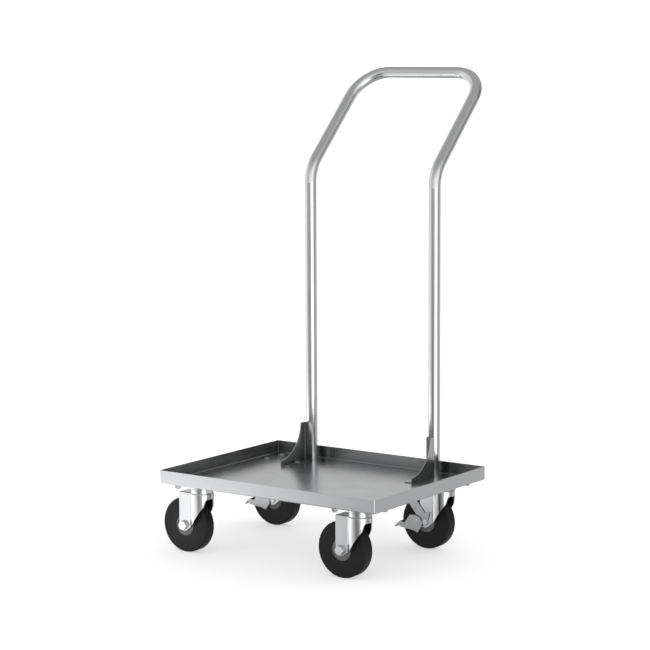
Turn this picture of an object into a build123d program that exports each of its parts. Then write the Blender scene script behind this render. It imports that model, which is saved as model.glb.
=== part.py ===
from build123d import *
from math import cos, pi, radians, sin, sqrt
import os

# A stainless steel tray dolly on four swivel casters, with a tall bent tube push handle.
# X runs across the dolly, +Y points to the handle side, Z is up and the floor is Z = 0.
# Each piece is made about the middle of the tray. The last section moves them all together,
# so that the origin is the middle of the footprint. Sizes are in millimetres.

# Wheel size, which sets the height of everything above it
WHEEL_RADIUS = 62.5
AXLE_Z = WHEEL_RADIUS
WHEEL_TOP = 2 * WHEEL_RADIUS

# Tray: one folded sheet with welded corners
TRAY_LENGTH = 580.0
TRAY_WIDTH = 445.0
TRAY_DEPTH = 30.0
TRAY_SHEET = 1.5
TRAY_INNER_BEND = 2.0
TRAY_UNDERSIDE = WHEEL_TOP + 35.0
TRAY_FLOOR = TRAY_UNDERSIDE + TRAY_SHEET

# Caster positions and fixings
SWIVEL_X = 214.5
SWIVEL_Y = 165.5
HOLE_SPACING_X = 88.0
HOLE_SPACING_Y = 60.0
M8_RADIUS = 4.0
M8_HOLE = 4.2
M8_FLATS = 13.0
M8_NUT_HEIGHT = 6.5
M8_HEX_HEAD = 5.3
M8_END_SPARE = 1.9
HEX_CHAMFER = 0.05
SAME_PLACE = 1.0
DOME_RADIUS = 8.0
DOME_HEIGHT = 4.0
WASHER_RADIUS = 8.0
WASHER_THICKNESS = 1.6

# Handle: one bent tube with a plug in the foot of each leg
TUBE_RADIUS = 13.45
TUBE_WALL = 1.5
HANDLE_BEND = 80.0
HANDLE_UPRIGHT_TOP = TRAY_UNDERSIDE + 686.0
HANDLE_LEAN = 219.0
PLUG_HEIGHT = 26.0
PLUG_THREAD_DEPTH = 20.0

# Gusset in front of each leg
GUSSET_SHEET = 2.0
GUSSET_HEIGHT = 90.0
GUSSET_LENGTH = 95.0
GUSSET_FACE_WIDTH = 22.0
GUSSET_FOOT_WIDTH = 20.0
GUSSET_TOP_DEPTH = 17.5
GUSSET_TOE_HEIGHT = 11.0
GUSSET_SWEEP = (57.0, 27.5)
GUSSET_INNER_BEND = 1.5
GUSSET_CORNER = 5.0

# Caster top plate and swivel head
PLATE_LENGTH = 112.0
PLATE_WIDTH = 84.0
PLATE_THICKNESS = 3.0
PLATE_CORNER = 8.0
BOSS_RADIUS = 27.0
BOSS_STEP_HEIGHT = 5.0
HEAD_RADIUS = 25.0
HEAD_GAP = 0.6
BOSS_RECESS_RADIUS = 21.0
BOSS_RECESS_DEPTH = 6.4
BOSS_BOTTOM = TRAY_UNDERSIDE - 11.4
UPPER_BALL = 3.0
UPPER_BALL_CIRCLE = 19.0
UPPER_BALL_COUNT = 16
LOWER_BALL = 2.5
LOWER_BALL_CIRCLE = 12.5
LOWER_BALL_COUNT = 12
LOWER_GROOVE_DEPTH = 1.2
LOWER_CUP_RADIUS = 17.0
LOWER_CUP_THICKNESS = 3.4
BALL_CLEARANCE = 0.05
KINGPIN_RADIUS = 6.0
KINGPIN_HEAD = 9.5
KINGPIN_HEAD_HEIGHT = 3.0
KINGPIN_WAY = 8.5

# Fork
TRAIL = 38.0
CROWN_RADIUS = 26.5
CROWN_TOP = TRAY_UNDERSIDE - 21.0
CROWN_SHEET = 3.0
RACE_DISC = 4.5
FORK_HALF_WIDTH = 18.0
FORK_SHEET = 2.5
FORK_PINCH = 1.5
FORK_TOP_BEND = 2.5
LEG_END = 13.0
APRON_BOTTOM = WHEEL_TOP + 1.0
NOTCH_CORNER = 5.0
NOTCH_TOP = (21.5, APRON_BOTTOM)
NOTCH_SIDE = (17.5, WHEEL_TOP - 17.0)
NOTCH_LOW = (-9.0, AXLE_Z + 5.5)
NOTCH_END = (-29.5, AXLE_Z - 10.0)

# Wheel and axle
TYRE_HALF_WIDTH = 13.75
TYRE_SHOULDER = 4.0
TYRE_INNER = 40.0
GUARD_RADIUS = 24.0
GUARD_THICKNESS = 1.4
GUARD_LIP = 0.6
AXLE_RADIUS = 6.0
AXLE_HOLE = 6.1
SLEEVE_RADIUS = 8.0
RUNNING_CLEARANCE = 0.05
GUARD_CLEARANCE = 0.3
M12_FLATS = 19.0
M12_HEAD = 7.5
M12_NUT = 10.0
M12_END_SPARE = 3.0

# Brake on each rear caster. Places are measured from the axle, rearward being -X.
FRAME_SHEET = 1.6
FRAME_EYE = 9.0
FRAME_CORNER = 2.0
FRAME_TIP = (15.5, 25.0)
FRAME_PLATE = ((-16.5, 18.8), FRAME_TIP, (6.0, -6.5), (-6.0, -6.5))
FRAME_LINK = ((-20.0, -4.0), (-18.0, 18.0), (2.0, 8.0), (0.0, -8.0))
STRAP_START = (-12.0, 20.5)
STRAP_WIDTH = 22.0
STRAP_ANGLE = 129.5
STRAP_REACH = WHEEL_RADIUS - 15.5
STRAP_OVERLAP = 6.0
BRAKE_PIVOT = (-20.0, 3.0)
PIVOT_RADIUS = 3.0
PIVOT_LOBE = 7.0
PIVOT_HEAD_RADIUS = 5.0
PIVOT_HEAD = 1.2
SPRING_WASHER = 0.9
PEDAL_SHEET = 2.0
PEDAL_GAP = 0.2
PEDAL_TRAVEL = 12.0
PEDAL_CORNER = (-WHEEL_RADIUS - 9.0, -10.5)
CHEEK_REAR = ((24.5 - WHEEL_RADIUS, 12.5), (10.5 - WHEEL_RADIUS, -7.0))
CHEEK_TOP = ((-6.0, -10.5), (-6.0, 2.0), (-12.0, 9.5), (-22.0, 14.0), *CHEEK_REAR)
CHEEK_BOTTOM = ((-28.0, -22.0), (-17.0, -26.0))
TREAD_SLOPE = 45.0
TREAD_RISE = 7.0
TREAD_LIP = 11.3
WALL_DROP = 10.9
SHOE_HALF_WIDTH = 13.0
SHOE_DEPTH = 9.0
SHOE_REST_GAP = 0.25


def rod(radius, low, high, x=0.0, y=0.0):
    """An upright cylinder."""
    return Pos(x, y, (low + high) / 2) * Cylinder(radius, high - low)


def cross_rod(radius, low, high, x=0.0, z=0.0):
    """A cylinder lying along Y."""
    return Pos(x, (low + high) / 2, z) * Rot(X=90) * Cylinder(radius, high - low)


def slab(outline, y_low, y_high):
    """A flat outline drawn in the X-Z plane, given thickness along Y."""
    return Pos(0, y_high, 0) * extrude(Plane.XZ * outline, amount=y_high - y_low)


def hexagon(flats, height):
    """A hexagon bar with its corners turned off at both ends, standing on its lower face."""
    corner_radius = flats / sqrt(3)
    bar = extrude(RegularPolygon(radius=corner_radius, side_count=6), amount=height)
    turned = rod(corner_radius, 0, height)
    turned = chamfer(turned.edges().filter_by(GeomType.CIRCLE), HEX_CHAMFER * flats)
    return bar & turned


def both_sides(solid):
    """A solid and its mirror image across the caster's middle plane."""
    return [solid, mirror(solid, about=Plane.XZ)]


def hole_places():
    """The four bolt places round one swivel axis."""
    half_x = HOLE_SPACING_X / 2
    half_y = HOLE_SPACING_Y / 2
    return [(x, y) for x in (-half_x, half_x) for y in (-half_y, half_y)]


# ---------------------------------------------------------------- fixings

NUT_TOP = TRAY_UNDERSIDE - PLATE_THICKNESS - WASHER_THICKNESS
LEG_X = SWIVEL_X - HOLE_SPACING_X / 2
LEG_Y = SWIVEL_Y + HOLE_SPACING_Y / 2
FOOT_Y = SWIVEL_Y - HOLE_SPACING_Y / 2


def bolt_places():
    """Every caster bolt place on the tray, from the middle of the tray."""
    places = []
    for swivel_x in (-SWIVEL_X, SWIVEL_X):
        for swivel_y in (-SWIVEL_Y, SWIVEL_Y):
            places += [(swivel_x + x, swivel_y + y) for x, y in hole_places()]
    return places


def in_line_with_leg(place, y):
    """True for the two bolt places that share the legs' X and the given Y."""
    return abs(abs(place[0]) - LEG_X) < SAME_PLACE and abs(place[1] - y) < SAME_PLACE


def under_leg(place):
    return in_line_with_leg(place, LEG_Y)


def on_gusset_foot(place):
    return in_line_with_leg(place, FOOT_Y)


def dome_bolt(seat):
    """A low domed bolt whose head sits on the given height."""
    ball = (DOME_RADIUS**2 + DOME_HEIGHT**2) / (2 * DOME_HEIGHT)
    dome = Pos(0, 0, seat + DOME_HEIGHT - ball) * Sphere(ball)
    head = dome & rod(DOME_RADIUS, seat, seat + DOME_HEIGHT)
    return head + rod(M8_RADIUS, NUT_TOP - M8_NUT_HEIGHT - M8_END_SPARE, seat)


def caster_bolts():
    bolts = []
    for place in bolt_places():
        if under_leg(place):
            continue
        seat = TRAY_FLOOR + (GUSSET_SHEET if on_gusset_foot(place) else 0)
        bolts.append(Pos(*place, 0) * dome_bolt(seat))
    return bolts


def leg_bolts():
    head = Pos(0, 0, NUT_TOP - M8_HEX_HEAD) * hexagon(M8_FLATS, M8_HEX_HEAD)
    bolt = head + rod(M8_RADIUS, NUT_TOP, TRAY_FLOOR + PLUG_THREAD_DEPTH - 1)
    return [Pos(x, LEG_Y, 0) * bolt for x in (-LEG_X, LEG_X)]


def caster_washers():
    top = NUT_TOP + WASHER_THICKNESS
    washer = rod(WASHER_RADIUS, NUT_TOP, top) - rod(M8_HOLE, NUT_TOP, top)
    return [Pos(*place, 0) * washer for place in bolt_places()]


def caster_nuts():
    low = NUT_TOP - M8_NUT_HEIGHT
    nut = Pos(0, 0, low) * hexagon(M8_FLATS, M8_NUT_HEIGHT) - rod(M8_RADIUS, low, NUT_TOP)
    return [Pos(*place, 0) * nut for place in bolt_places() if not under_leg(place)]


# ---------------------------------------------------------------- tray and handle


def tray_pan():
    outer = Box(TRAY_LENGTH, TRAY_WIDTH, TRAY_DEPTH)
    outer = Pos(0, 0, TRAY_UNDERSIDE + TRAY_DEPTH / 2) * outer
    soft = outer.edges().group_by(Axis.Z)[0] + outer.edges().filter_by(Axis.Z)
    outer = fillet(soft, TRAY_INNER_BEND + TRAY_SHEET)
    inner = Box(TRAY_LENGTH - 2 * TRAY_SHEET, TRAY_WIDTH - 2 * TRAY_SHEET, TRAY_DEPTH)
    inner = Pos(0, 0, TRAY_FLOOR + TRAY_DEPTH / 2) * inner
    soft = inner.edges().group_by(Axis.Z)[0] + inner.edges().filter_by(Axis.Z)
    inner = fillet(soft, TRAY_INNER_BEND)
    pan = outer - inner
    for place in bolt_places():
        pan -= rod(M8_HOLE, TRAY_UNDERSIDE - 1, TRAY_FLOOR + 1, *place)
    return pan


def handle_tube():
    top_y = LEG_Y + HANDLE_LEAN
    top_z = HANDLE_UPRIGHT_TOP + HANDLE_LEAN
    path = FilletPolyline(
        (-LEG_X, LEG_Y, TRAY_FLOOR),
        (-LEG_X, LEG_Y, HANDLE_UPRIGHT_TOP),
        (-LEG_X, top_y, top_z),
        (LEG_X, top_y, top_z),
        (LEG_X, LEG_Y, HANDLE_UPRIGHT_TOP),
        (LEG_X, LEG_Y, TRAY_FLOOR),
        radius=HANDLE_BEND,
    )
    foot = Plane(origin=(-LEG_X, LEG_Y, TRAY_FLOOR), z_dir=(0, 0, 1))
    section = foot * (Circle(TUBE_RADIUS) - Circle(TUBE_RADIUS - TUBE_WALL))
    return sweep(section, path=path)


def leg_plugs():
    top = TRAY_FLOOR + PLUG_HEIGHT
    plug = rod(TUBE_RADIUS - TUBE_WALL, TRAY_FLOOR, top)
    plug = chamfer(plug.edges().group_by(Axis.Z)[-1], 1.5)
    plug -= rod(M8_RADIUS, TRAY_FLOOR, TRAY_FLOOR + PLUG_THREAD_DEPTH)
    return [Pos(x, LEG_Y, 0) * plug for x in (-LEG_X, LEG_X)]


def gusset(side):
    """A bent sheet bracket. Its web is on the outer side of the leg, +X for side 1."""
    face_y = LEG_Y - TUBE_RADIUS
    outer_x = LEG_X + GUSSET_FACE_WIDTH / 2
    inner_x = LEG_X - GUSSET_FACE_WIDTH / 2
    toe_y = face_y - GUSSET_LENGTH
    angle = Polyline(
        (inner_x, face_y),
        (outer_x, face_y),
        (outer_x, toe_y),
        (outer_x - GUSSET_SHEET, toe_y),
        (outer_x - GUSSET_SHEET, face_y - GUSSET_SHEET),
        (inner_x, face_y - GUSSET_SHEET),
        close=True,
    )
    angle = make_face(angle)
    outer_corner = angle.vertices().sort_by_distance((outer_x, face_y, 0))[0]
    angle = fillet(outer_corner, GUSSET_INNER_BEND + GUSSET_SHEET)
    fold = (outer_x - GUSSET_SHEET, face_y - GUSSET_SHEET, 0)
    angle = fillet(angle.vertices().sort_by_distance(fold)[0], GUSSET_INNER_BEND)
    blank = Pos(0, 0, TRAY_FLOOR) * extrude(angle, amount=GUSSET_HEIGHT)

    top_z = TRAY_FLOOR + GUSSET_HEIGHT
    toe_z = TRAY_FLOOR + GUSSET_TOE_HEIGHT
    sweep_point = (toe_y + GUSSET_SWEEP[0], toe_z + GUSSET_SWEEP[1])
    front = ThreePointArc((toe_y, toe_z), sweep_point, (face_y - GUSSET_TOP_DEPTH, top_z))
    rest = Polyline(
        (face_y - GUSSET_TOP_DEPTH, top_z),
        (face_y + 1, top_z),
        (face_y + 1, TRAY_FLOOR),
        (toe_y, TRAY_FLOOR),
        (toe_y, toe_z),
    )
    side_view = Plane.YZ * make_face(Curve() + [front, rest])
    bracket = blank & extrude(side_view, amount=outer_x + 1)

    corner = Pos(inner_x, face_y - GUSSET_SHEET / 2, top_z) * Box(
        2 * GUSSET_CORNER, 3 * GUSSET_SHEET, 2 * GUSSET_CORNER
    )
    round_off = cross_rod(GUSSET_CORNER, face_y - 3 * GUSSET_SHEET, face_y + GUSSET_SHEET,
                          inner_x + GUSSET_CORNER, top_z - GUSSET_CORNER)
    bracket -= corner - round_off

    foot = Box(GUSSET_FOOT_WIDTH, GUSSET_LENGTH, GUSSET_SHEET, align=(Align.MAX, Align.MIN, Align.MIN))
    foot = Pos(outer_x - GUSSET_SHEET / 2, toe_y, TRAY_FLOOR) * foot
    free_corner = foot.edges().filter_by(Axis.Z).sort_by_distance((inner_x, toe_y, TRAY_FLOOR))[0]
    bracket += fillet(free_corner, GUSSET_CORNER)
    bracket -= rod(M8_HOLE, TRAY_FLOOR - 1, TRAY_FLOOR + GUSSET_SHEET + 1, LEG_X, FOOT_Y)
    return bracket if side > 0 else mirror(bracket, about=Plane.YZ)


# ---------------------------------------------------------------- swivel head

PLATE_BOTTOM = TRAY_UNDERSIDE - PLATE_THICKNESS
RECESS_FLOOR = TRAY_UNDERSIDE - BOSS_RECESS_DEPTH
RACE_TOP = BOSS_BOTTOM - HEAD_GAP
RACE_BOTTOM = RACE_TOP - RACE_DISC
UPPER_BALL_Z = BOSS_BOTTOM - HEAD_GAP / 2
LOWER_BALL_Z = RACE_BOTTOM + LOWER_GROOVE_DEPTH - LOWER_BALL
CUP_TOP = LOWER_BALL_Z - LOWER_BALL + LOWER_GROOVE_DEPTH
CUP_BOTTOM = CUP_TOP - LOWER_CUP_THICKNESS


def ball_groove(circle, ball, height):
    return Pos(0, 0, height) * Torus(circle, ball + BALL_CLEARANCE)


def top_plate():
    plate = extrude(RectangleRounded(PLATE_LENGTH, PLATE_WIDTH, PLATE_CORNER), amount=PLATE_THICKNESS)
    plate = Pos(0, 0, PLATE_BOTTOM) * plate
    plate += rod(BOSS_RADIUS, PLATE_BOTTOM - BOSS_STEP_HEIGHT, PLATE_BOTTOM)
    plate += rod(HEAD_RADIUS, BOSS_BOTTOM, PLATE_BOTTOM)
    plate -= rod(BOSS_RECESS_RADIUS, RECESS_FLOOR, TRAY_UNDERSIDE + 1)
    plate -= rod(KINGPIN_RADIUS, BOSS_BOTTOM - 1, RECESS_FLOOR + 1)
    plate -= ball_groove(UPPER_BALL_CIRCLE, UPPER_BALL, UPPER_BALL_Z)
    for place in hole_places():
        plate -= rod(M8_HOLE, PLATE_BOTTOM - 1, TRAY_UNDERSIDE + 1, *place)
    return plate


def lower_race():
    """The cup that the kingpin holds up against the lower balls."""
    cup = rod(LOWER_CUP_RADIUS, CUP_BOTTOM, CUP_TOP) - rod(KINGPIN_RADIUS, CUP_BOTTOM, CUP_TOP)
    return cup - ball_groove(LOWER_BALL_CIRCLE, LOWER_BALL, LOWER_BALL_Z)


def kingpin():
    pin = rod(KINGPIN_RADIUS, CUP_BOTTOM, RECESS_FLOOR)
    top = rod(KINGPIN_HEAD, RECESS_FLOOR, RECESS_FLOOR + KINGPIN_HEAD_HEIGHT)
    bottom = rod(KINGPIN_HEAD, CUP_BOTTOM - KINGPIN_HEAD_HEIGHT, CUP_BOTTOM)
    top = fillet(top.edges().group_by(Axis.Z)[-1], 1.2)
    bottom = fillet(bottom.edges().group_by(Axis.Z)[0], 1.8)
    return pin + top + bottom


def ball_ring(count, circle, radius, height):
    turns = [2 * pi * i / count for i in range(count)]
    return [Pos(circle * cos(a), circle * sin(a), height) * Sphere(radius) for a in turns]


def head_balls():
    upper = ball_ring(UPPER_BALL_COUNT, UPPER_BALL_CIRCLE, UPPER_BALL, UPPER_BALL_Z)
    lower = ball_ring(LOWER_BALL_COUNT, LOWER_BALL_CIRCLE, LOWER_BALL, LOWER_BALL_Z)
    return upper + lower


# ---------------------------------------------------------------- fork

FORK_INNER = FORK_HALF_WIDTH - FORK_SHEET
FORK_REAR = -TRAIL - LEG_END


def fork_plan(crown_radius, half_width, rear, pinch):
    """The fork from above: a round crown that runs back into two flat sides."""
    crown = Circle(crown_radius)
    sides = Pos(rear / 2, 0) * Rectangle(-rear, 2 * half_width)
    plan = crown + sides
    meet = -sqrt(crown_radius**2 - half_width**2)
    corners = [plan.vertices().sort_by_distance((meet, y, 0))[0] for y in (-half_width, half_width)]
    return fillet(corners, pinch)


def fork():
    blank_low = AXLE_Z - LEG_END
    plan = fork_plan(CROWN_RADIUS, FORK_HALF_WIDTH, FORK_REAR, FORK_PINCH)
    body = Pos(0, 0, blank_low) * extrude(plan, amount=CROWN_TOP - blank_low)
    body = fillet(body.edges().group_by(Axis.Z)[-1], FORK_TOP_BEND)
    body += rod(HEAD_RADIUS, CROWN_TOP - CROWN_SHEET, RACE_TOP)

    cavity = fork_plan(CROWN_RADIUS - FORK_SHEET, FORK_INNER, FORK_REAR - 10, FORK_PINCH + FORK_SHEET)
    cavity_top = CROWN_TOP - CROWN_SHEET
    body -= Pos(0, 0, blank_low - 1) * extrude(cavity, amount=cavity_top - blank_low + 1)
    body -= rod(HEAD_RADIUS - CROWN_SHEET, cavity_top - 1, RACE_BOTTOM)
    body -= rod(KINGPIN_WAY, RACE_BOTTOM - 1, RACE_TOP + 1)
    body -= ball_groove(UPPER_BALL_CIRCLE, UPPER_BALL, UPPER_BALL_Z)
    body -= ball_groove(LOWER_BALL_CIRCLE, LOWER_BALL, LOWER_BALL_Z)

    side_view = Polyline(
        (FORK_REAR, AXLE_Z),
        (FORK_REAR, RACE_TOP + 1),
        (CROWN_RADIUS + 1, RACE_TOP + 1),
        (CROWN_RADIUS + 1, APRON_BOTTOM),
        NOTCH_TOP,
        NOTCH_SIDE,
        NOTCH_LOW,
        NOTCH_END,
        close=True,
    )
    side_view = make_face(side_view)
    notch = side_view.vertices().sort_by_distance((*NOTCH_TOP, 0))[0]
    side_view = fillet(notch, NOTCH_CORNER)
    side_view += Pos(-TRAIL, AXLE_Z) * Circle(LEG_END)
    body &= slab(side_view, -CROWN_RADIUS - 1, CROWN_RADIUS + 1)
    return body - cross_rod(AXLE_HOLE, -CROWN_RADIUS, CROWN_RADIUS, -TRAIL, AXLE_Z)


# ---------------------------------------------------------------- wheel


def wheel_ring(inner, outer, half_width):
    """A plain ring on the axle."""
    disc = cross_rod(outer, -half_width, half_width, -TRAIL, AXLE_Z)
    return disc - cross_rod(inner, -half_width, half_width, -TRAIL, AXLE_Z)


def tyre():
    disc = cross_rod(WHEEL_RADIUS, -TYRE_HALF_WIDTH, TYRE_HALF_WIDTH, -TRAIL, AXLE_Z)
    disc = fillet(disc.edges().filter_by(GeomType.CIRCLE), TYRE_SHOULDER)
    return disc - cross_rod(TYRE_INNER, -TYRE_HALF_WIDTH, TYRE_HALF_WIDTH, -TRAIL, AXLE_Z)


def wheel_centre():
    return wheel_ring(SLEEVE_RADIUS + RUNNING_CLEARANCE, TYRE_INNER, TYRE_HALF_WIDTH)


def thread_guards():
    outer_face = TYRE_HALF_WIDTH + GUARD_THICKNESS
    guard = cross_rod(GUARD_RADIUS, TYRE_HALF_WIDTH, outer_face, -TRAIL, AXLE_Z)
    guard = fillet(guard.edges().group_by(Axis.Y)[-1], GUARD_LIP)
    guard -= cross_rod(SLEEVE_RADIUS + GUARD_CLEARANCE, 0, outer_face, -TRAIL, AXLE_Z)
    return both_sides(guard)


def axle_sleeve():
    return wheel_ring(AXLE_RADIUS, SLEEVE_RADIUS, FORK_INNER)


def cross_hexagon(flats, low, high):
    """A hexagon on the axle, lying along Y."""
    bar = Rot(X=90) * hexagon(flats, high - low)
    return Pos(-TRAIL, high, AXLE_Z) * bar


def axle_bolt():
    head = cross_hexagon(M12_FLATS, -FORK_HALF_WIDTH - M12_HEAD, -FORK_HALF_WIDTH)
    end = FORK_HALF_WIDTH + M12_NUT + M12_END_SPARE
    return head + cross_rod(AXLE_RADIUS, -FORK_HALF_WIDTH, end, -TRAIL, AXLE_Z)


def axle_nut():
    nut = cross_hexagon(M12_FLATS, FORK_HALF_WIDTH, FORK_HALF_WIDTH + M12_NUT)
    return nut - cross_rod(AXLE_RADIUS, 0, FORK_HALF_WIDTH + M12_NUT, -TRAIL, AXLE_Z)


# ---------------------------------------------------------------- brake

FRAME_OUTER = FORK_HALF_WIDTH + FRAME_SHEET
CHEEK_INNER = FRAME_OUTER + PEDAL_GAP
CHEEK_OUTER = CHEEK_INNER + PEDAL_SHEET
STRAP_RISE = (cos(radians(STRAP_ANGLE)), sin(radians(STRAP_ANGLE)))


def from_axle(solid):
    """Move a solid drawn about the axle's middle to its place on the caster."""
    return Pos(-TRAIL, 0, AXLE_Z) * solid


def rivet_axle():
    """The rear axle: its ends are set flush in the brake frame."""
    return cross_rod(AXLE_RADIUS, -FRAME_OUTER, FRAME_OUTER, -TRAIL, AXLE_Z)


def strap_end(distance, across):
    """A point along the strap, from its start, and to one side of its middle line."""
    x = STRAP_START[0] + STRAP_RISE[0] * distance + STRAP_RISE[1] * across
    z = STRAP_START[1] + STRAP_RISE[1] * distance - STRAP_RISE[0] * across
    return (x, z)


def strap_length(start):
    """The strap's outline from the given distance along it to its upper end."""
    half = STRAP_WIDTH / 2
    ends = [(start, -half), (STRAP_REACH, -half), (STRAP_REACH, half), (start, half)]
    return make_face(Polyline(*[strap_end(*end) for end in ends], close=True))


def brake_frame():
    """A strap over the wheel with a three-cornered plate on each fork leg."""
    plate = make_face(Polyline(*FRAME_PLATE, close=True))
    plate = fillet(plate.vertices().sort_by_distance((*FRAME_TIP, 0))[0], FRAME_CORNER)
    strap = strap_length(-STRAP_OVERLAP)
    lobe = Pos(*BRAKE_PIVOT) * Circle(PIVOT_LOBE)
    link = make_face(Polyline(*FRAME_LINK, close=True))
    outline = plate + strap + lobe + link + Circle(FRAME_EYE)
    side = slab(outline, FORK_HALF_WIDTH, FRAME_OUTER)
    side -= cross_rod(AXLE_RADIUS, 0, FRAME_OUTER + 1)
    side -= cross_rod(PIVOT_RADIUS, 0, FRAME_OUTER + 1, *BRAKE_PIVOT)

    bridge = slab(strap_length(STRAP_REACH - FRAME_SHEET), -FRAME_OUTER, FRAME_OUTER)
    near, far = both_sides(side)
    return from_axle(near + far + bridge)


def pivot_rivets():
    washer_face = FORK_HALF_WIDTH - SPRING_WASHER
    rivet = cross_rod(PIVOT_RADIUS, washer_face, CHEEK_OUTER, *BRAKE_PIVOT)
    head = cross_rod(PIVOT_HEAD_RADIUS, washer_face - PIVOT_HEAD, washer_face, *BRAKE_PIVOT)
    return [from_axle(piece) for piece in both_sides(rivet + head)]


def pivot_washers():
    washer = cross_rod(PIVOT_HEAD_RADIUS, FORK_HALF_WIDTH - SPRING_WASHER, FORK_HALF_WIDTH, *BRAKE_PIVOT)
    washer -= cross_rod(PIVOT_RADIUS, 0, FORK_HALF_WIDTH, *BRAKE_PIVOT)
    return [from_axle(piece) for piece in both_sides(washer)]


def pedal_point(rise, drop):
    """A point measured from the pedal's corner, up the tread and down the wall."""
    slope = radians(TREAD_SLOPE)
    x = PEDAL_CORNER[0] + rise * cos(slope) + drop * sin(slope)
    z = PEDAL_CORNER[1] + rise * sin(slope) - drop * cos(slope)
    return (x, z)


def pedal_block(rise_low, rise_high, drop_low, drop_high):
    """A rectangle set square to the sloping tread."""
    corners = [(rise_low, drop_low), (rise_high, drop_low), (rise_high, drop_high), (rise_low, drop_high)]
    return make_face(Polyline(*[pedal_point(*c) for c in corners], close=True))


def brake_pedal():
    """A U-shaped pressing: two cheeks, a sloping tread and a wall behind the wheel."""
    tread_end = [pedal_point(TREAD_RISE, 0), pedal_point(0, 0), pedal_point(0, WALL_DROP)]
    cheek = make_face(Polyline(*CHEEK_TOP, *tread_end, *CHEEK_BOTTOM, close=True))
    cheek = slab(cheek, CHEEK_INNER, CHEEK_OUTER)
    cheek -= cross_rod(PIVOT_RADIUS + RUNNING_CLEARANCE, 0, CHEEK_OUTER + 1, *BRAKE_PIVOT)

    tread = pedal_block(-TREAD_LIP, TREAD_RISE, 0, PEDAL_SHEET)
    wall = pedal_block(0, PEDAL_SHEET, 0, WALL_DROP)
    cross = slab(tread + wall, -CHEEK_OUTER, CHEEK_OUTER)
    near, far = both_sides(cheek)
    return from_axle(near + far + cross)


def brake_shoe():
    """A rubber block in the angle of tread and wall. It meets the tyre when the pedal is down."""
    block = pedal_block(PEDAL_SHEET, PEDAL_SHEET + SHOE_DEPTH, PEDAL_SHEET, WALL_DROP)
    block = slab(block, -SHOE_HALF_WIDTH, SHOE_HALF_WIDTH)
    turn = radians(PEDAL_TRAVEL)
    to_axle = (-BRAKE_PIVOT[0], -BRAKE_PIVOT[1])
    pressed_x = BRAKE_PIVOT[0] + to_axle[0] * cos(turn) + to_axle[1] * sin(turn)
    pressed_z = BRAKE_PIVOT[1] - to_axle[0] * sin(turn) + to_axle[1] * cos(turn)
    sweep_radius = WHEEL_RADIUS + SHOE_REST_GAP
    block -= cross_rod(sweep_radius, -2 * SHOE_HALF_WIDTH, 2 * SHOE_HALF_WIDTH, pressed_x, pressed_z)
    return from_axle(block)


# ---------------------------------------------------------------- assembly


def caster(brake):
    """One caster about its swivel axis, trailing to -X: a list of pieces for each name."""
    pieces = {
        "top_plate": [top_plate()],
        "lower_race": [lower_race()],
        "head_balls": head_balls(),
        "fork": [fork()],
        "axle_sleeve": [axle_sleeve()],
        "wheel_centre": [wheel_centre()],
        "tyre": [tyre()],
        "thread_guards": thread_guards(),
    }
    if brake:
        pieces["axle_rivet"] = [rivet_axle()]
        pieces["brake_frame"] = [brake_frame()]
        pieces["brake_pedal"] = [brake_pedal()]
        pieces["brake_shoe"] = [brake_shoe()]
        pieces["brake_pivots"] = pivot_rivets()
        pieces["brake_spring_washers"] = pivot_washers()
    else:
        pieces["axle_bolt"] = [axle_bolt()]
        pieces["axle_nut"] = [axle_nut()]
    return pieces


def whole_dolly():
    nodes = {
        "tray_pan": [tray_pan()],
        "handle_tube": [handle_tube()],
        "leg_plugs": leg_plugs(),
        "gusset_left": [gusset(-1)],
        "gusset_right": [gusset(1)],
        "caster_bolts": caster_bolts(),
        "leg_bolts": leg_bolts(),
        "caster_washers": caster_washers(),
        "caster_nuts": caster_nuts(),
        "kingpins": [],
    }
    pin = kingpin()
    for row, y, brake in (("front", -SWIVEL_Y, False), ("rear", SWIVEL_Y, True)):
        pieces = caster(brake)
        for side, x in (("left", -SWIVEL_X), ("right", SWIVEL_X)):
            place = Pos(x, y, 0)
            nodes["kingpins"].append(place * pin)
            for name, solids in pieces.items():
                nodes[f"{row}_{side}_{name}"] = [place * solid for solid in solids]
    return nodes


def write_steps(nodes):
    """Move the footprint's middle to the origin and write one STEP file for each node."""
    shapes = {name: Compound([s for piece in pieces for s in piece.solids()])
              for name, pieces in nodes.items()}
    box = Compound(list(shapes.values())).bounding_box()
    middle = Pos(-box.center().X, -box.center().Y, -box.min.Z)
    os.makedirs("parts", exist_ok=True)
    for name, shape in shapes.items():
        export_step(middle * shape, f"parts/{name}.step")
    print(f"moved by {-box.center().X:.3f}, {-box.center().Y:.3f}, {-box.min.Z:.3f}")
    print(f"size {box.size.X:.2f} x {box.size.Y:.2f} x {box.size.Z:.2f}")


write_steps(whole_dolly())
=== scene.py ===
from math import cos, pi, radians, sin

import bmesh
import bpy
from mathutils import Matrix, Vector


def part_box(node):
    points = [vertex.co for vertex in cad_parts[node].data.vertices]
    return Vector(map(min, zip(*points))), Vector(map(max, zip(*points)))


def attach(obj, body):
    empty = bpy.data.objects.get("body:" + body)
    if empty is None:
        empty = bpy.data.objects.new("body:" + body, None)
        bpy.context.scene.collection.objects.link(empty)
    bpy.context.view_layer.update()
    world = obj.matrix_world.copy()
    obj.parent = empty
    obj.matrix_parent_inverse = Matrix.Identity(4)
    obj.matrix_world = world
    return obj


# A stainless steel tray dolly on four swivel casters, with a tall bent tube push handle.
# Sizes are in metres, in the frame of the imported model.

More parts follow.
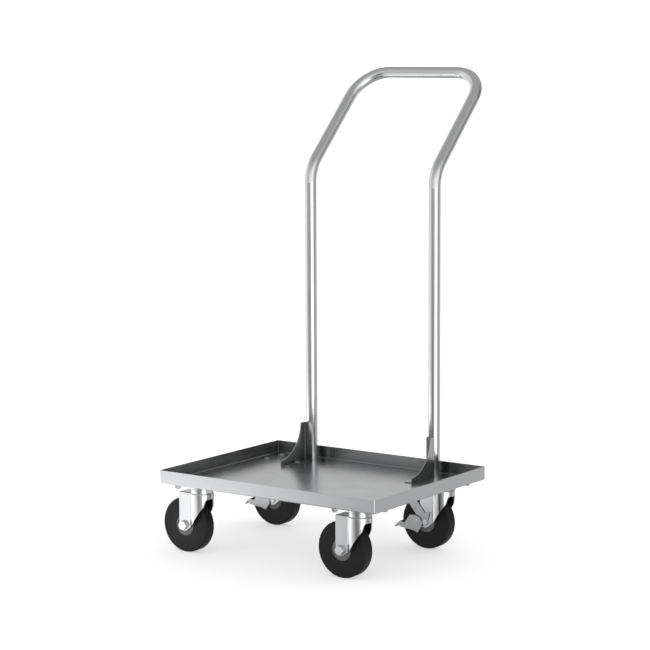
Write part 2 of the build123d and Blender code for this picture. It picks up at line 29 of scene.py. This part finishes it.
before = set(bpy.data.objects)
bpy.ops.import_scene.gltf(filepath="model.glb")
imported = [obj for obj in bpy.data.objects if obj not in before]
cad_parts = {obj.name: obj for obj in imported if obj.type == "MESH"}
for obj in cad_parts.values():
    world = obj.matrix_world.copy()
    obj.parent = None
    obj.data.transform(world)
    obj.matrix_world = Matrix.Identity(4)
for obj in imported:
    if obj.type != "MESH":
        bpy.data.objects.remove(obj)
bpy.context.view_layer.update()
shown = bpy.context.scene


# ---------------------------------------------------------------- camera
# A long lens on a stand, in front of the dolly and to its right, looking down a little.

CAMERA_SIDE = radians(35.43)
CAMERA_HEIGHT = radians(7.54)
CAMERA_TILT = radians(-0.25)
CAMERA_DISTANCE = 4.9154
CAMERA_LENS = 121.53
SENSOR_WIDTH = 36.0
AIM_ACROSS = 0.0050
AIM_UP = 0.3210

tray_low, tray_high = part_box("tray_pan")
tray_middle = (tray_low + tray_high) / 2
rim_middle = Vector((tray_middle.x, tray_middle.y, tray_high.z))

away = Vector((
    sin(CAMERA_SIDE) * cos(CAMERA_HEIGHT),
    -cos(CAMERA_SIDE) * cos(CAMERA_HEIGHT),
    sin(CAMERA_HEIGHT),
))
across = Vector((cos(CAMERA_SIDE), sin(CAMERA_SIDE), 0.0))
roll = Matrix.Rotation(CAMERA_TILT, 3, away)
across = roll @ across
upward = away.cross(across)

camera_data = bpy.data.cameras.new("camera")
camera_data.lens = CAMERA_LENS
camera_data.sensor_width = SENSOR_WIDTH
camera_data.clip_end = 200.0
camera = bpy.data.objects.new("camera", camera_data)
shown.collection.objects.link(camera)
camera.matrix_world = Matrix((
    (across.x, upward.x, away.x, 0.0),
    (across.y, upward.y, away.y, 0.0),
    (across.z, upward.z, away.z, 0.0),
    (0.0, 0.0, 0.0, 1.0),
))
camera.location = rim_middle + away * CAMERA_DISTANCE + across * AIM_ACROSS + upward * AIM_UP
shown.camera = camera


# ---------------------------------------------------------------- floor and light
# A plain white studio floor in a white room. In a mirror the room is grey, with lighter and
# darker bands round it, so that bare steel has something to reflect.

FLOOR_REACH = 60.0
FLOOR_WHITE = 0.7
FLOOR_GLOW = 0.42
ROOM_LOW_WHITE = 2.6
ROOM_HIGH_WHITE = 0.5


def put(tree, kind, settings=None, **inputs):
    """Adds one shader node. Each input, by its socket's name, is a value or another node's output."""
    node = tree.nodes.new("ShaderNode" + kind)
    for name, value in (settings or {}).items():
        setattr(node, name, value)
    for name, value in inputs.items():
        socket = node.inputs[name.replace("_", " ")]
        if isinstance(value, bpy.types.NodeSocket):
            tree.links.new(value, socket)
        else:
            socket.default_value = value
    return node


def new_finish(name):
    """A material with nothing in it but its surface output."""
    finish = bpy.data.materials.new(name)
    finish.use_nodes = True
    tree = finish.node_tree
    tree.nodes.clear()
    return finish, tree, tree.nodes.new("ShaderNodeOutputMaterial")


def link_mesh(name, builder, *finishes):
    """Turns a bmesh into an object with the given finishes."""
    mesh = bpy.data.meshes.new(name)
    builder.to_mesh(mesh)
    builder.free()
    piece = bpy.data.objects.new(name, mesh)
    shown.collection.objects.link(piece)
    for finish in finishes:
        mesh.materials.append(finish)
    return piece


floor_paint, tree, surface = new_finish("floor_paint")
matt = put(tree, "BsdfDiffuse", Color=(FLOOR_WHITE, FLOOR_WHITE, FLOOR_WHITE, 1.0))
glow = put(tree, "Emission", Color=(1.0, 1.0, 1.0, 1.0), Strength=FLOOR_GLOW)
shade = tree.nodes.new("ShaderNodeAddShader")
tree.links.new(matt.outputs[0], shade.inputs[0])
tree.links.new(glow.outputs[0], shade.inputs[1])
tree.links.new(shade.outputs[0], surface.inputs["Surface"])

builder = bmesh.new()
bmesh.ops.create_grid(builder, x_segments=8, y_segments=8, size=FLOOR_REACH)
floor = link_mesh("studio_floor", builder, floor_paint)
floor.visible_glossy = False

# How bright the room is in a mirror, above the horizon and below it. Each pair is a turn in
# degrees from CAMERA_SIDE, a fixed direction in the room, and a brightness there.
ROOM_WALLS = ((-180, 0.8), (-144, 1.1), (-100, 1.2), (-71, 0.8), (-37, 0.9), (-18, 1.2), (0, 1.4),
              (18, 1.5), (37, 1.5), (57, 1.2), (78, 0.6), (109, 0.22), (140, 0.45), (180, 0.8))
ROOM_FLOOR = ((-180, 0.5), (-144, 1.3), (-100, 1.45), (-78, 0.85), (-57, 0.7), (-37, 0.3),
              (-18, 0.4),
              (0, 0.9), (14, 3.0), (38, 3.0), (57, 0.9), (78, 0.45), (109, 0.84), (140, 0.8), (180, 0.5))
CEILING = 0.55
NEAR_FLOOR = 0.6
BRIGHTEST = 3.0
# Heights on a ball round the room, from -1 straight down to 1 straight up, where one part of
# the room gives way to the next.
FLOOR_BEGINS = (0.03, -0.12)
NEAR_FLOOR_BEGINS = (-0.3, -0.7)
CEILING_BEGINS = (0.25, 0.85)
WHITE_CHANGES = (0.0, 0.9)

room = bpy.data.worlds.new("studio_room")
shown.world = room
room.use_nodes = True
tree = room.node_tree
tree.nodes.clear()


def smooth_range(tree, value, start, end, low, high):
    """A number that eases from low to high as the value goes from start to end."""
    step = put(tree, "MapRange", {"interpolation_type": "SMOOTHSTEP"}, Value=value)
    for name, number in (("From Min", start), ("From Max", end), ("To Min", low), ("To Max", high)):
        step.inputs[name].default_value = number
    return step.outputs["Result"]


def arithmetic(tree, operation, first, second):
    """One step of arithmetic on two numbers."""
    step = tree.nodes.new("ShaderNodeMath")
    step.operation = operation
    for socket, value in zip(step.inputs, (first, second)):
        if isinstance(value, bpy.types.NodeSocket):
            tree.links.new(value, socket)
        else:
            socket.default_value = value
    return step.outputs[0]


def bands(tree, turn, levels):
    """Grey levels round the room, with smooth steps between them."""
    steps = put(tree, "ValToRGB", Fac=turn)
    ramp = steps.color_ramp
    ramp.interpolation = "EASE"
    while len(ramp.elements) < len(levels):
        ramp.elements.new(0.5)
    for element, (angle, brightness) in zip(ramp.elements, levels):
        element.position = (angle + 180) / 360
    for element, (angle, brightness) in zip(ramp.elements, levels):
        grey = brightness / BRIGHTEST
        element.color = (grey, grey, grey, 1.0)
    return arithmetic(tree, "MULTIPLY", steps.outputs["Color"], BRIGHTEST)


ray = put(tree, "LightPath")
look = put(tree, "TexCoord")
part = put(tree, "SeparateXYZ", Vector=look.outputs["Generated"])
back_y = arithmetic(tree, "MULTIPLY", part.outputs["Y"], -1.0)
turn = arithmetic(tree, "ARCTAN2", part.outputs["X"], back_y)
turn = arithmetic(tree, "SUBTRACT", turn, CAMERA_SIDE)
turn = arithmetic(tree, "DIVIDE", turn, 2 * pi)
turn = arithmetic(tree, "ADD", turn, 1.5)
turn = arithmetic(tree, "FRACT", turn, 0.0)
walls = bands(tree, turn, ROOM_WALLS)
ground = bands(tree, turn, ROOM_FLOOR)
is_ground = smooth_range(tree, part.outputs["Z"], *FLOOR_BEGINS, 0.0, 1.0)
is_near = smooth_range(tree, part.outputs["Z"], *NEAR_FLOOR_BEGINS, 0.0, 1.0)
is_ceiling = smooth_range(tree, part.outputs["Z"], *CEILING_BEGINS, 0.0, 1.0)


def mixed(tree, share, first, second):
    """A number part way between two others."""
    pick = put(tree, "Mix", {"data_type": "FLOAT"}, Factor=share)
    for socket, value in ((pick.inputs[2], first), (pick.inputs[3], second)):
        if isinstance(value, bpy.types.NodeSocket):
            tree.links.new(value, socket)
        else:
            socket.default_value = value
    return pick.outputs[0]


ground = mixed(tree, is_near, ground, NEAR_FLOOR)
mirror_level = mixed(tree, is_ceiling, mixed(tree, is_ground, walls, ground), CEILING)
white_level = smooth_range(tree, part.outputs["Z"], *WHITE_CHANGES, ROOM_LOW_WHITE, ROOM_HIGH_WHITE)
white_room = put(tree, "Background", Color=(1.0, 1.0, 1.0, 1.0), Strength=white_level)
mirrored_room = put(tree, "Background", Color=(1.0, 1.0, 1.0, 1.0), Strength=mirror_level)
either = put(tree, "MixShader", Fac=ray.outputs["Is Glossy Ray"])
tree.links.new(white_room.outputs[0], either.inputs[1])
tree.links.new(mirrored_room.outputs[0], either.inputs[2])
world_end = tree.nodes.new("ShaderNodeOutputWorld")
tree.links.new(either.outputs[0], world_end.inputs["Surface"])


# A white card lies on the floor to the left. Only steel sees it, and its right side and its
# far end fade out.
CARD_NEAR = 0.3
CARD_FAR = 1.85
CARD_HALF_WIDTH = 1.1
CARD_LIFT = 0.0005
CARD_WHITE = 1.05
CARD_RIGHT_FADE = (0.46, -0.2)
CARD_FAR_FADE = (-1.85, -1.6)

card_paint, tree, surface = new_finish("card_paint")
where = put(tree, "TexCoord")
card_part = put(tree, "SeparateXYZ", Vector=where.outputs["Object"])
strength = smooth_range(tree, card_part.outputs["X"], *CARD_RIGHT_FADE, 0.0, CARD_WHITE)
far_fade = smooth_range(tree, card_part.outputs["Y"], *CARD_FAR_FADE, 0.0, 1.0)
strength = arithmetic(tree, "MULTIPLY", strength, far_fade)
shine = put(tree, "Emission", Color=(1.0, 1.0, 1.0, 1.0), Strength=strength)
clear = put(tree, "BsdfTransparent")
shade = tree.nodes.new("ShaderNodeAddShader")
tree.links.new(shine.outputs[0], shade.inputs[0])
tree.links.new(clear.outputs[0], shade.inputs[1])
tree.links.new(shade.outputs[0], surface.inputs["Surface"])

builder = bmesh.new()
ends = ((-CARD_HALF_WIDTH, CARD_NEAR), (CARD_HALF_WIDTH, CARD_NEAR),
        (CARD_HALF_WIDTH, CARD_FAR), (-CARD_HALF_WIDTH, CARD_FAR))
builder.faces.new([builder.verts.new((x, -y, 0.0)) for x, y in ends])
card = link_mesh("floor_card", builder, card_paint)
card.location = (rim_middle.x, rim_middle.y, CARD_LIFT)
card.rotation_euler = (0.0, 0.0, -CAMERA_SIDE)
card.visible_camera = False
card.visible_diffuse = False
card.visible_shadow = False

shown.view_settings.view_transform = "Standard"


# ---------------------------------------------------------------- tray
# One folded stainless sheet with welded corners, brushed along its length. Its cut edges
# are broken by hand, so they catch a thin line of light.


def new_group(name, inputs, outputs):
    """A shader node group with named sockets, and its two ends."""
    group = bpy.data.node_groups.new(name, "ShaderNodeTree")
    for socket, kind, value in inputs:
        made = group.interface.new_socket(socket, in_out="INPUT", socket_type="NodeSocket" + kind)
        made.default_value = value
    for socket, kind in outputs:
        group.interface.new_socket(socket, in_out="OUTPUT", socket_type="NodeSocket" + kind)
    return group, group.nodes.new("NodeGroupInput"), group.nodes.new("NodeGroupOutput")


def scaled_place(tree, place, scale):
    """Coordinates stretched by a vector."""
    stretch = put(tree, "VectorMath", {"operation": "MULTIPLY"})
    tree.links.new(place, stretch.inputs[0])
    if isinstance(scale, bpy.types.NodeSocket):
        tree.links.new(scale, stretch.inputs[1])
    else:
        stretch.inputs[1].default_value = scale
    return stretch.outputs[0]


# Fine parallel scratches with broader streaks among them. On faces that look along X they
# follow the second direction.
BROADER = {"Stretch": (0.5, 0.06, 0.06), "Side Stretch": (0.06, 0.5, 0.06)}
LOOKS_ALONG_X = 0.7
brushed_grain, ends_in, ends_out = new_group(
    "brushed_grain",
    [("Stretch", "Vector", (12.0, 900.0, 900.0)), ("Side Stretch", "Vector", (900.0, 12.0, 900.0))],
    [("Grain", "Float"), ("Streaks", "Float")],
)
where = put(brushed_grain, "TexCoord")
facing = put(brushed_grain, "SeparateXYZ", Vector=where.outputs["Normal"])
sideways = arithmetic(brushed_grain, "ABSOLUTE", facing.outputs["X"], 0.0)
sideways = arithmetic(brushed_grain, "GREATER_THAN", sideways, LOOKS_ALONG_X)
both = []
for socket in ("Stretch", "Side Stretch"):
    place = scaled_place(brushed_grain, where.outputs["Object"], ends_in.outputs[socket])
    fine = put(brushed_grain, "TexNoise", Vector=place, Scale=1.0, Detail=3.0, Roughness=0.6)
    place = scaled_place(brushed_grain, place, BROADER[socket])
    broad = put(brushed_grain, "TexNoise", Vector=place, Scale=1.0, Detail=2.0)
    both.append((fine.outputs[0], broad.outputs[0]))
for i, socket in enumerate(("Grain", "Streaks")):
    pick = put(brushed_grain, "Mix", {"data_type": "FLOAT"}, Factor=sideways)
    brushed_grain.links.new(both[0][i], pick.inputs[2])
    brushed_grain.links.new(both[1][i], pick.inputs[3])
    brushed_grain.links.new(pick.outputs[0], ends_out.inputs[socket])

# Edges rounded by a small radius.
broken_edge, ends_in, ends_out = new_group(
    "broken_edge", [("Radius", "Float", 0.0006)], [("Normal", "Vector")]
)
rounded = put(broken_edge, "Bevel", {"samples": 4}, Radius=ends_in.outputs["Radius"])
broken_edge.links.new(rounded.outputs["Normal"], ends_out.inputs["Normal"])

# Faint cloudy patches left by hands and cleaning cloths.
handling_marks, ends_in, ends_out = new_group(
    "handling_marks", [("Size", "Float", 14.0)], [("Mark", "Float")]
)
where = put(handling_marks, "TexCoord")
cloud = put(handling_marks, "TexNoise", Vector=where.outputs["Object"], Scale=ends_in.outputs["Size"],
            Detail=4.0, Roughness=0.62)
spread = put(handling_marks, "MapRange", {"interpolation_type": "SMOOTHSTEP"})
for name, value in (("From Min", 0.35), ("From Max", 0.7), ("To Min", 0.0), ("To Max", 1.0)):
    spread.inputs[name].default_value = value
handling_marks.links.new(cloud.outputs[0], spread.inputs["Value"])
handling_marks.links.new(spread.outputs["Result"], ends_out.inputs["Mark"])


# Painted shade: ambient occlusion darkens the colour in corners and joints, where nearby surfaces shut the
# steel in.
painted_corner_shade, ends_in, ends_out = new_group(
    "painted_corner_shade", [("Reach", "Float", 0.06), ("Darkest", "Float", 0.3)], [("Shade", "Float")]
)
shut_in = put(painted_corner_shade, "AmbientOcclusion", {"samples": 8}, Distance=ends_in.outputs["Reach"])
open_share = put(painted_corner_shade, "MapRange", Value=shut_in.outputs["AO"])
open_share.inputs["From Min"].default_value = 0.4
open_share.inputs["From Max"].default_value = 0.98
painted_corner_shade.links.new(ends_in.outputs["Darkest"], open_share.inputs["To Min"])
painted_corner_shade.links.new(open_share.outputs["Result"], ends_out.inputs["Shade"])


def use_group(tree, group, **inputs):
    """Places a shared effect in a material with its own values."""
    node = tree.nodes.new("ShaderNodeGroup")
    node.node_tree = group
    for name, value in inputs.items():
        node.inputs[name.replace("_", " ")].default_value = value
    return node


def between(tree, mask, low, high):
    """A colour between two greys or tints, picked by a mask."""
    mix = put(tree, "Mix", {"data_type": "RGBA"})
    tree.links.new(mask, mix.inputs[0])
    mix.inputs[6].default_value = (*low, 1.0)
    mix.inputs[7].default_value = (*high, 1.0)
    return mix.outputs[2]


def level(tree, value, low, high):
    """A number between low and high, as the value goes from 0 to 1."""
    step = put(tree, "MapRange", Value=value)
    step.inputs["To Min"].default_value = low
    step.inputs["To Max"].default_value = high
    return step.outputs["Result"]


FINE_SHARE = 0.6
ROUGHNESS_SWING = 0.03
MARK_ROUGHNESS = 0.05
GRAIN_STRENGTH = 0.35


def brushed_steel(name, dark, light, roughness, grain_depth, edge_radius, marks=14.0, corners=1.0,
                  stretch=(12.0, 900.0, 900.0), side_stretch=(900.0, 12.0, 900.0)):
    """Bare steel with a grain, rounded edges and faint handling marks, and painted shade in its corners
    when corners is below 1.
    """
    finish, tree, surface = new_finish(name)
    grain = use_group(tree, brushed_grain, Stretch=stretch, Side_Stretch=side_stretch)
    edge = use_group(tree, broken_edge, Radius=edge_radius)
    mark = use_group(tree, handling_marks, Size=marks)
    tone = arithmetic(tree, "MULTIPLY", grain.outputs["Grain"], FINE_SHARE)
    streaks = arithmetic(tree, "MULTIPLY", grain.outputs["Streaks"], 1.0 - FINE_SHARE)
    tone = arithmetic(tree, "ADD", tone, streaks)
    colour = between(tree, tone, dark, light)
    # Painted shade: the colour is darkened where ambient occlusion finds nearby surfaces.
    if corners < 1.0:
        corner_shade_factor = use_group(tree, painted_corner_shade, Darkest=corners)
        shaded = put(tree, "VectorMath", {"operation": "SCALE"}, Scale=corner_shade_factor.outputs["Shade"])
        tree.links.new(colour, shaded.inputs[0])
        colour = shaded.outputs[0]
    rough = level(tree, tone, roughness - ROUGHNESS_SWING, roughness + ROUGHNESS_SWING)
    cloudy = arithmetic(tree, "MULTIPLY", mark.outputs["Mark"], MARK_ROUGHNESS)
    rough = arithmetic(tree, "ADD", rough, cloudy)
    bump = put(tree, "Bump", Strength=GRAIN_STRENGTH, Distance=grain_depth, Height=grain.outputs["Grain"],
               Normal=edge.outputs["Normal"])
    steel = put(tree, "BsdfPrincipled", Base_Color=colour, Metallic=1.0, Roughness=rough,
                Normal=bump.outputs["Normal"])
    tree.links.new(steel.outputs[0], surface.inputs["Surface"])
    return finish


def dress(node, finish):
    """Gives a CAD node its finish."""
    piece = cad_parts[node]
    if not piece.material_slots:
        piece.data.materials.append(finish)
    for slot in piece.material_slots:
        slot.material = finish


# Painted shade darkens the tray's colour in its inside corners and along its joints.
tray_steel = brushed_steel("tray_steel", (0.41, 0.415, 0.42), (0.48, 0.485, 0.49), 0.22, 0.00001, 0.0006,
                           corners=0.4)
dress("tray_pan", tray_steel)


# ---------------------------------------------------------------- handle
# One length of polished stainless tube, bent six times. Each foot holds a turned plug.

tube_steel = brushed_steel("tube_steel", (0.54, 0.545, 0.55), (0.58, 0.585, 0.59), 0.14, 0.0000005, 0.0003,
                           stretch=(700.0, 700.0, 14.0), side_stretch=(700.0, 700.0, 14.0))
dress("handle_tube", tube_steel)

turned_steel = brushed_steel("turned_steel", (0.45, 0.46, 0.47), (0.62, 0.63, 0.64), 0.3, 0.00001,
                             0.0003)
dress("leg_plugs", turned_steel)


# ---------------------------------------------------------------- gussets
# Bent stainless sheet, welded to the front of each leg and bolted down at the foot.

# Painted shade darkens the gussets' colour where they meet the leg and the tray.
gusset_steel = brushed_steel("gusset_steel", (0.37, 0.375, 0.38), (0.44, 0.445, 0.45), 0.2, 0.00001,
                             0.0006, corners=0.4, stretch=(900.0, 900.0, 12.0),
                             side_stretch=(900.0, 900.0, 12.0))
for side in ("left", "right"):
    dress(f"gusset_{side}", gusset_steel)

# Two fine beads of weld run down behind each gusset's face, one on each side of the line where
# it touches the leg. A bead is laid in short overlapping ripples.
WELD_RADIUS = 0.0011
WELD_PITCH = 0.0016
WELD_SIDES = 8
WELD_RIPPLE = 0.16
WELD_END = 0.25
WELD_TAPER = 6.0
RINGS_A_RIPPLE = 3
FEWEST_RINGS = 4
WELD_APART = 0.0042
WELD_SETBACK = 0.0002
WELD_FOOT_GAP = 0.004
WELD_TOP_GAP = 0.003
TUBE_DIAMETER = 0.0269

weld_metal = brushed_steel("weld_metal", (0.30, 0.30, 0.30), (0.46, 0.455, 0.45), 0.32, 0.00003, 0.0003,
                           marks=200.0, stretch=(600.0, 600.0, 600.0), side_stretch=(600.0, 600.0, 600.0))


def weld_bead(builder, start, end, radius):
    """A rippled bead along a straight line, thinner at both ends."""
    run = end - start
    count = max(FEWEST_RINGS, int(run.length / WELD_PITCH) * RINGS_A_RIPPLE)
    along = run.normalized()
    first = along.orthogonal().normalized()
    second = along.cross(first)
    rings = []
    for i in range(count + 1):
        ripple = 1.0 + WELD_RIPPLE * cos(2 * pi * i / RINGS_A_RIPPLE)
        taper = min(1.0, WELD_END + WELD_TAPER * min(i, count - i) / count)
        centre = start + run * i / count
        ring = []
        for j in range(WELD_SIDES):
            turn = 2 * pi * j / WELD_SIDES
            point = centre + (first * cos(turn) + second * sin(turn)) * radius * ripple * taper
            ring.append(builder.verts.new(point))
        rings.append(ring)
    for near, far in zip(rings, rings[1:]):
        for j in range(WELD_SIDES):
            k = (j + 1) % WELD_SIDES
            builder.faces.new((near[j], near[k], far[k], far[j]))
    builder.faces.new(rings[0][::-1])
    builder.faces.new(rings[-1])


def shade_smooth(builder):
    """Smooth shading on every face."""
    for face in builder.faces:
        face.smooth = True


handle_low, handle_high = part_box("handle_tube")
leg_places = {"left": handle_low.x + TUBE_DIAMETER / 2, "right": handle_high.x - TUBE_DIAMETER / 2}
for side, leg_x in leg_places.items():
    low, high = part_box(f"gusset_{side}")
    builder = bmesh.new()
    for bead_x in (leg_x - WELD_APART, leg_x + WELD_APART):
        bead_y = high.y + WELD_SETBACK
        weld_bead(builder, Vector((bead_x, bead_y, low.z + WELD_FOOT_GAP)),
                  Vector((bead_x, bead_y, high.z - WELD_TOP_GAP)), WELD_RADIUS)
    shade_smooth(builder)
    bead = link_mesh(f"gusset_{side}_weld", builder, weld_metal)
    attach(bead, "root")


# ---------------------------------------------------------------- fixings
# Stainless bolts, washers and nuts. Those on the tray have a darker steel colour; the axle bolts are
# bright.

fastener_steel = brushed_steel("fastener_steel", (0.24, 0.245, 0.25), (0.30, 0.305, 0.31), 0.22, 0.000008,
                               0.0004, marks=60.0)
for name in ("caster_bolts", "leg_bolts", "caster_washers", "caster_nuts"):
    dress(name, fastener_steel)
axle_steel = brushed_steel("axle_steel", (0.52, 0.525, 0.53), (0.62, 0.625, 0.63), 0.2, 0.000008,
                           0.0004, marks=60.0)


# ---------------------------------------------------------------- caster heads and forks
# Pressed steel with bright zinc plating, a little cloudy.

zinc_plate = brushed_steel("zinc_plate", (0.46, 0.465, 0.47), (0.52, 0.525, 0.53), 0.15, 0.000001, 0.0008,
                           marks=40.0, stretch=(90.0, 90.0, 90.0), side_stretch=(90.0, 90.0, 90.0))
ball_steel = brushed_steel("ball_steel", (0.70, 0.71, 0.72), (0.78, 0.79, 0.80), 0.1, 0.000002, 0.0001)
corners = [f"{row}_{side}" for row in ("front", "rear") for side in ("left", "right")]
for corner in corners:
    dress(f"{corner}_top_plate", zinc_plate)
    dress(f"{corner}_fork", zinc_plate)
    dress(f"{corner}_lower_race", turned_steel)
    dress(f"{corner}_head_balls", ball_steel)
    dress(f"{corner}_axle_sleeve", turned_steel)
dress("kingpins", turned_steel)
for side in ("left", "right"):
    dress(f"front_{side}_axle_bolt", axle_steel)
    dress(f"front_{side}_axle_nut", axle_steel)
    dress(f"rear_{side}_axle_rivet", turned_steel)


# ---------------------------------------------------------------- wheels
# A black rubber tyre bonded to a black moulded centre, with a grey thread guard each side.


def moulded(name, dark, light, roughness, pebble, pebble_depth, edge_radius):
    """Rubber or plastic straight from its mould: a fine pebble, softened edges, faint dust."""
    finish, tree, surface = new_finish(name)
    edge = use_group(tree, broken_edge, Radius=edge_radius)
    mark = use_group(tree, handling_marks, Size=30.0)
    where = put(tree, "TexCoord")
    grit = put(tree, "TexNoise", Vector=where.outputs["Object"], Scale=pebble, Detail=2.0)
    colour = between(tree, mark.outputs["Mark"], dark, light)
    rough = level(tree, mark.outputs["Mark"], roughness - 0.05, roughness + 0.07)
    bump = put(tree, "Bump", Strength=0.4, Distance=pebble_depth, Normal=edge.outputs["Normal"])
    tree.links.new(grit.outputs[0], bump.inputs["Height"])
    skin = put(tree, "BsdfPrincipled", Base_Color=colour, Roughness=rough, Normal=bump.outputs["Normal"],
               Specular_IOR_Level=0.2)
    tree.links.new(skin.outputs[0], surface.inputs["Surface"])
    return finish


tyre_rubber = moulded("tyre_rubber", (0.005, 0.005, 0.005), (0.008, 0.008, 0.008), 0.55, 2500.0,
                      0.00005, 0.0006)
centre_plastic = moulded("centre_plastic", (0.005, 0.005, 0.005), (0.007, 0.007, 0.007), 0.5, 1800.0,
                         0.00003, 0.0006)
guard_plastic = moulded("guard_plastic", (0.085, 0.085, 0.088), (0.105, 0.105, 0.108), 0.45, 1800.0,
                        0.00003, 0.0006)
for corner in corners:
    dress(f"{corner}_tyre", tyre_rubber)
    dress(f"{corner}_wheel_centre", centre_plastic)
    dress(f"{corner}_thread_guards", guard_plastic)

# Two fine raised rings are moulded into each side wall of the tyre.
RING_RADII = (0.0555, 0.0445)
RING_RISE = 0.00025
RING_HALF_WIDTH = 0.0004
RING_ROOT = -0.0002
RING_STEPS = 96

for corner in corners:
    low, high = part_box(f"{corner}_tyre")
    middle = (low + high) / 2
    half_width = (high.y - low.y) / 2
    builder = bmesh.new()
    for side in (-1, 1):
        for radius in RING_RADII:
            profile = ((-RING_HALF_WIDTH, RING_ROOT), (-RING_HALF_WIDTH / 2, RING_RISE),
                       (RING_HALF_WIDTH / 2, RING_RISE), (RING_HALF_WIDTH, RING_ROOT))
            rings = []
            for i in range(RING_STEPS):
                turn = 2 * pi * i / RING_STEPS
                rings.append([
                    builder.verts.new((
                        middle.x + (radius + out) * cos(turn),
                        middle.y + side * (half_width + rise),
                        middle.z + (radius + out) * sin(turn),
                    ))
                    for out, rise in profile
                ])
            for i in range(RING_STEPS):
                near, far = rings[i], rings[(i + 1) % RING_STEPS]
                for j in range(len(profile) - 1):
                    patch = (near[j], near[j + 1], far[j + 1], far[j])
                    builder.faces.new(patch if side < 0 else patch[::-1])
    shade_smooth(builder)
    ring_piece = link_mesh(f"{corner}_tyre_rings", builder, tyre_rubber)
    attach(ring_piece, f"{corner}_wheel")


# ---------------------------------------------------------------- brakes
# A zinc plated frame and foot pedal on each rear caster, with a rubber shoe behind the wheel.

# Painted shade darkens the brake parts' colour in their corners and folds.
brake_zinc = brushed_steel("brake_zinc", (0.30, 0.305, 0.31), (0.44, 0.445, 0.45), 0.28, 0.00004, 0.0006,
                           marks=90.0, corners=0.35, stretch=(400.0, 400.0, 400.0),
                           side_stretch=(400.0, 400.0, 400.0))
shoe_rubber = moulded("shoe_rubber", (0.016, 0.016, 0.016), (0.024, 0.024, 0.024), 0.6, 2200.0,
                      0.00006, 0.0006)
for side in ("left", "right"):
    dress(f"rear_{side}_brake_frame", brake_zinc)
    dress(f"rear_{side}_brake_pedal", brake_zinc)
    dress(f"rear_{side}_brake_shoe", shoe_rubber)
    dress(f"rear_{side}_brake_pivots", turned_steel)
    dress(f"rear_{side}_brake_spring_washers", turned_steel)
